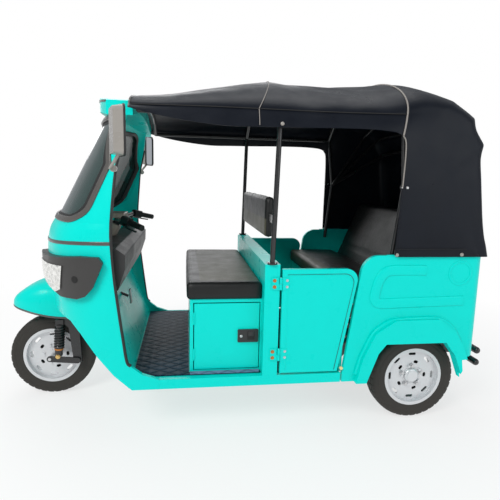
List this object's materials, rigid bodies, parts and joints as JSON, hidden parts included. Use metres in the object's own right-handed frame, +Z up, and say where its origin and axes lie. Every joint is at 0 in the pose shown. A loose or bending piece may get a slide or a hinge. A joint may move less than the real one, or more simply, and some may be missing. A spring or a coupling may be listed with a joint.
{
  "type": "electric passenger tricycle with a folding hood",
  "caption": "Three-wheeled electric passenger vehicle with a closed front cowl, half doors, a bench for passengers and a dark folding hood.",
  "frame": {"origin": "on the road under the middle of the overall length and width", "axes": "+X forward, +Y to the vehicle's left, +Z up"},
  "size_m": [2.6838, 1.6064, 1.8619],
  "materials": {
    "body_paint": "gloss turquoise enamel",
    "black_paint": "satin black enamel",
    "rim_silver": "silver wheel enamel",
    "bare_steel": "zinc plated",
    "tyre_rubber": "matt",
    "screen_glass": "tinted",
    "lamp_clear": "clear",
    "black_plastic": "grained",
    "mirror_glass": "polished",
    "seat_vinyl": "grained coated fabric",
    "hood_cloth": "coated cloth with a soft sheen",
    "mat_rubber": "quilted",
    "grip_rubber": "ribbed",
    "cream_plastic": "gloss",
    "red_lens": "gloss",
    "mirror_shell": "silver grey gloss"
  },
  "bodies": {
    "body": {"chassis_frame": "black_paint", "floor_pan": "body_paint", "floor_mat": "mat_rubber", "front_cowl": "body_paint", "windscreen": "screen_glass", "roof_visor": "body_paint", "front_fender": "body_paint", "headlamp_housings": "black_plastic", "headlamp_lenses": "lamp_clear", "dash_console": "black_plastic", "leg_shield": "body_paint", "driver_seat_box": "body_paint", "battery_pack": "black_plastic", "driver_seat_cushion": "seat_vinyl", "partition_wall": "body_paint", "roof_posts": "black_paint", "driver_backrest": "seat_vinyl", "door_hinges": "body_paint", "rear_side_panel_left": "body_paint", "rear_side_panel_right": "body_paint", "rear_end_panel": "body_paint", "wheel_housings": "body_paint", "passenger_bench": "body_paint", "passenger_seat_cushion": "seat_vinyl", "passenger_backrest": "seat_vinyl", "canopy": "hood_cloth", "roof_frame": "black_paint", "hood_bows": "black_paint", "mirror_housings": "mirror_shell", "mirror_glasses": "mirror_glass", "tail_lamps": "red_lens", "rear_bumper": "black_paint", "rear_axle": "black_paint", "leaf_springs": "black_paint"},
    "steering": {"front_fork": "black_paint", "front_links": "black_paint", "front_axle": "bare_steel", "front_dampers": "black_paint", "handlebar": "black_paint", "hand_grips": "grip_rubber", "instrument_cover": "cream_plastic"},
    "front_wheel": {"front_tyre": "tyre_rubber", "front_rim": "rim_silver"},
    "rear_left_wheel": {"rear_left_tyre": "tyre_rubber", "rear_left_rim": "rim_silver"},
    "rear_right_wheel": {"rear_right_tyre": "tyre_rubber", "rear_right_rim": "rim_silver"},
    "left_door": {"door_left": "body_paint"},
    "right_door": {"door_right": "body_paint"},
    "hatch": {"seat_hatch": "body_paint"}
  },
  "joints": [
    {"name": "steering", "type": "hinge", "parent": "body", "child": "steering", "pos_m": [0.96, 0, 0.52], "axis": [-0.4226, 0, 0.9063], "range_deg": [-35, 35]},
    {"name": "front_wheel_spin", "type": "hinge", "parent": "steering", "child": "front_wheel", "pos_m": [1.102, 0, 0.24], "axis": [0, 1, 0], "continuous": true},
    {"name": "rear_left_wheel_spin", "type": "hinge", "parent": "body", "child": "rear_left_wheel", "pos_m": [-0.933, 0.48, 0.24], "axis": [0, 1, 0], "continuous": true},
    {"name": "rear_right_wheel_spin", "type": "hinge", "parent": "body", "child": "rear_right_wheel", "pos_m": [-0.933, -0.48, 0.24], "axis": [0, 1, 0], "continuous": true},
    {"name": "left_door_hinge", "type": "hinge", "parent": "body", "child": "left_door", "pos_m": [-0.15, 0.608, 0.6], "axis": [0, 0, -1], "range_deg": [0, 95]},
    {"name": "right_door_hinge", "type": "hinge", "parent": "body", "child": "right_door", "pos_m": [-0.15, -0.608, 0.6], "axis": [0, 0, 1], "range_deg": [0, 95]},
    {"name": "hatch_hinge", "type": "hinge", "parent": "body", "child": "hatch", "pos_m": [0.275, 0.532, 0.5], "axis": [0, 0, -1], "range_deg": [0, 100]}
  ]
}
